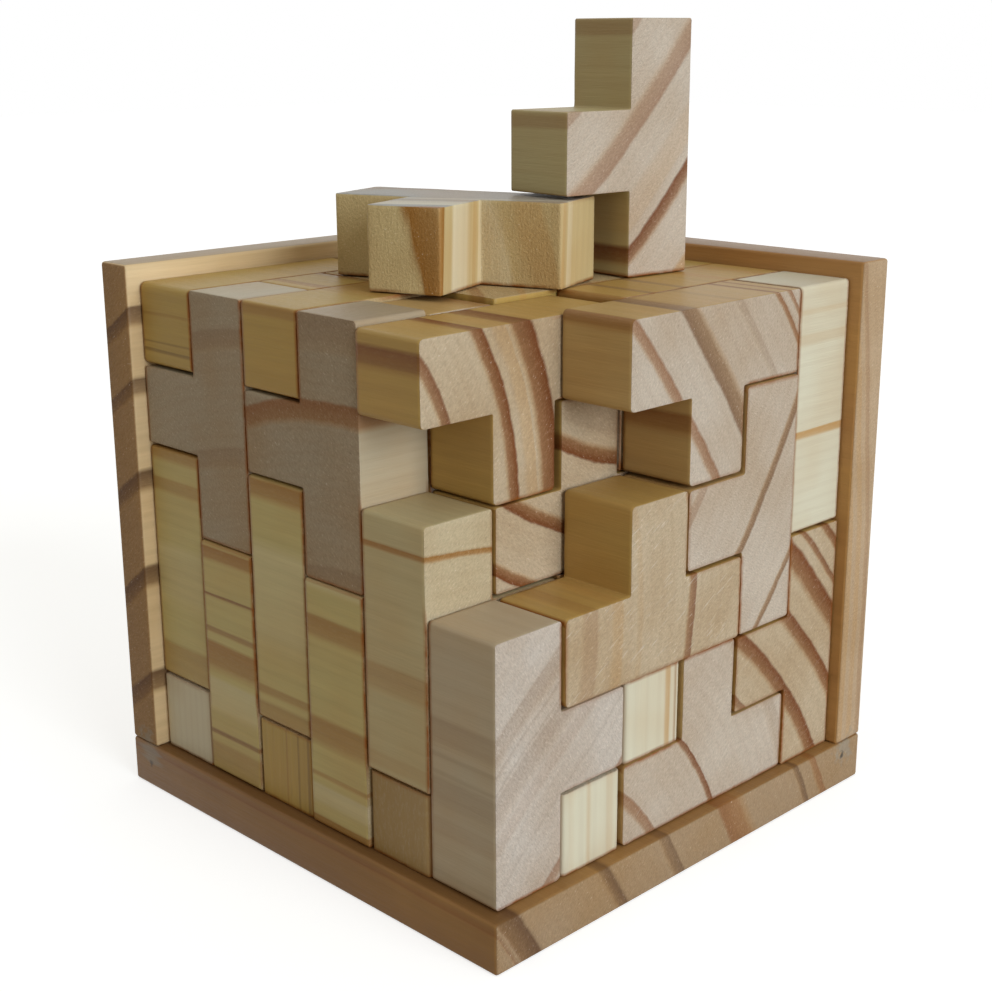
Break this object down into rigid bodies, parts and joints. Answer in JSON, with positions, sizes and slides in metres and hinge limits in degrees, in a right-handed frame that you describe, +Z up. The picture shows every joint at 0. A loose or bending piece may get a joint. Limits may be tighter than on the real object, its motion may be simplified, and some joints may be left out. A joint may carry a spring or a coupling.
{
  "type": "wooden cube puzzle in a corner tray",
  "caption": "Wooden packing puzzle: T-shaped pieces stacked into a cube inside an open corner tray, with two pieces lifted out and resting on top.",
  "frame": {"origin": "middle of the tray's footprint, on the underside of the base board", "axes": "+Z up; the tray's open corner faces -X and -Y, and its two upright boards stand on the +X and +Y sides"},
  "size_m": [0.1006, 0.1006, 0.1438],
  "materials": {
    "piece_pale": "satin",
    "piece_warm": "satin",
    "tray_board": "satin"
  },
  "bodies": {
    "tray": {"tray_base": "tray_board", "tray_back_wall": "tray_board", "tray_side_wall": "tray_board", "tee_02": "piece_warm", "tee_04": "piece_warm", "tee_12": "piece_warm", "tee_16": "piece_warm", "tee_19": "piece_pale", "tee_22": "piece_warm", "tee_23": "piece_pale", "tee_24": "piece_warm", "tee_25": "piece_pale", "tee_26": "piece_warm", "tee_27": "piece_pale", "tee_28": "piece_warm", "tee_29": "piece_pale", "tee_30": "piece_warm", "tee_31": "piece_pale", "tee_32": "piece_warm", "tee_33": "piece_pale", "tee_34": "piece_warm", "tee_35": "piece_pale", "tee_36": "piece_warm", "tee_37": "piece_pale", "tee_39": "piece_pale", "tee_40": "piece_warm", "tee_41": "piece_pale", "tee_42": "piece_warm", "tee_43": "piece_pale", "tee_44": "piece_warm", "tee_45": "piece_pale", "tee_46": "piece_warm", "tee_47": "piece_pale", "tee_48": "piece_warm", "tee_49": "piece_pale", "tee_50": "piece_warm", "tee_51": "piece_pale", "tee_52": "piece_warm"},
    "piece_01": {"tee_01": "piece_pale"},
    "piece_03": {"tee_03": "piece_pale"},
    "piece_05": {"tee_05": "piece_pale"},
    "piece_06": {"tee_06": "piece_warm"},
    "piece_07": {"tee_07": "piece_pale"},
    "piece_08": {"tee_08": "piece_warm"},
    "piece_09": {"tee_09": "piece_pale"},
    "piece_10": {"tee_10": "piece_warm"},
    "piece_11": {"tee_11": "piece_pale"},
    "piece_13": {"tee_13": "piece_pale"},
    "piece_14": {"tee_14": "piece_warm"},
    "piece_15": {"tee_15": "piece_pale"},
    "piece_17": {"tee_17": "piece_pale"},
    "piece_18": {"tee_18": "piece_warm"},
    "piece_20": {"tee_20": "piece_warm"},
    "piece_21": {"tee_21": "piece_pale"},
    "piece_38": {"tee_38": "piece_warm"},
    "lying_piece": {"tee_lying": "piece_pale"},
    "standing_piece": {"tee_standing": "piece_warm"}
  },
  "joints": [
    {"name": "piece_01_pull", "type": "slide", "parent": "tray", "child": "piece_01", "axis": [0, -1, 0], "range_m": [0, 0.055]},
    {"name": "piece_03_pull", "type": "slide", "parent": "tray", "child": "piece_03", "axis": [0, -1, 0], "range_m": [0, 0.055]},
    {"name": "piece_05_pull", "type": "slide", "parent": "tray", "child": "piece_05", "axis": [0, -1, 0], "range_m": [0, 0.055]},
    {"name": "piece_06_pull", "type": "slide", "parent": "tray", "child": "piece_06", "axis": [0, -1, 0], "range_m": [0, 0.055]},
    {"name": "piece_07_pull", "type": "slide", "parent": "tray", "child": "piece_07", "axis": [0, -1, 0], "range_m": [0, 0.055]},
    {"name": "piece_08_pull", "type": "slide", "parent": "tray", "child": "piece_08", "axis": [0, -1, 0], "range_m": [0, 0.055]},
    {"name": "piece_09_pull", "type": "slide", "parent": "tray", "child": "piece_09", "axis": [0, -1, 0], "range_m": [0, 0.055]},
    {"name": "piece_10_lift", "type": "slide", "parent": "tray", "child": "piece_10", "axis": [0, 0, 1], "range_m": [0, 0.045]},
    {"name": "piece_11_pull", "type": "slide", "parent": "tray", "child": "piece_11", "axis": [-1, 0, 0], "range_m": [0, 0.055]},
    {"name": "piece_13_pull", "type": "slide", "parent": "tray", "child": "piece_13", "axis": [-1, 0, 0], "range_m": [0, 0.055]},
    {"name": "piece_14_pull", "type": "slide", "parent": "tray", "child": "piece_14", "axis": [-1, 0, 0], "range_m": [0, 0.055]},
    {"name": "piece_15_pull", "type": "slide", "parent": "tray", "child": "piece_15", "axis": [-1, 0, 0], "range_m": [0, 0.055]},
    {"name": "piece_17_pull", "type": "slide", "parent": "tray", "child": "piece_17", "axis": [-1, 0, 0], "range_m": [0, 0.055]},
    {"name": "piece_18_pull", "type": "slide", "parent": "tray", "child": "piece_18", "axis": [-1, 0, 0], "range_m": [0, 0.055]},
    {"name": "piece_20_pull", "type": "slide", "parent": "tray", "child": "piece_20", "axis": [-1, 0, 0], "range_m": [0, 0.055]},
    {"name": "piece_21_pull", "type": "slide", "parent": "tray", "child": "piece_21", "axis": [-1, 0, 0], "range_m": [0, 0.055]},
    {"name": "piece_38_lift", "type": "slide", "parent": "tray", "child": "piece_38", "axis": [0, 0, 1], "range_m": [0, 0.045]},
    {"name": "lying_piece_lift", "type": "slide", "parent": "tray", "child": "lying_piece", "axis": [0, 0, 1], "range_m": [0, 0.045]},
    {"name": "standing_piece_lift", "type": "slide", "parent": "lying_piece", "child": "standing_piece", "axis": [0, 0, 1], "range_m": [0, 0.045]}
  ]
}
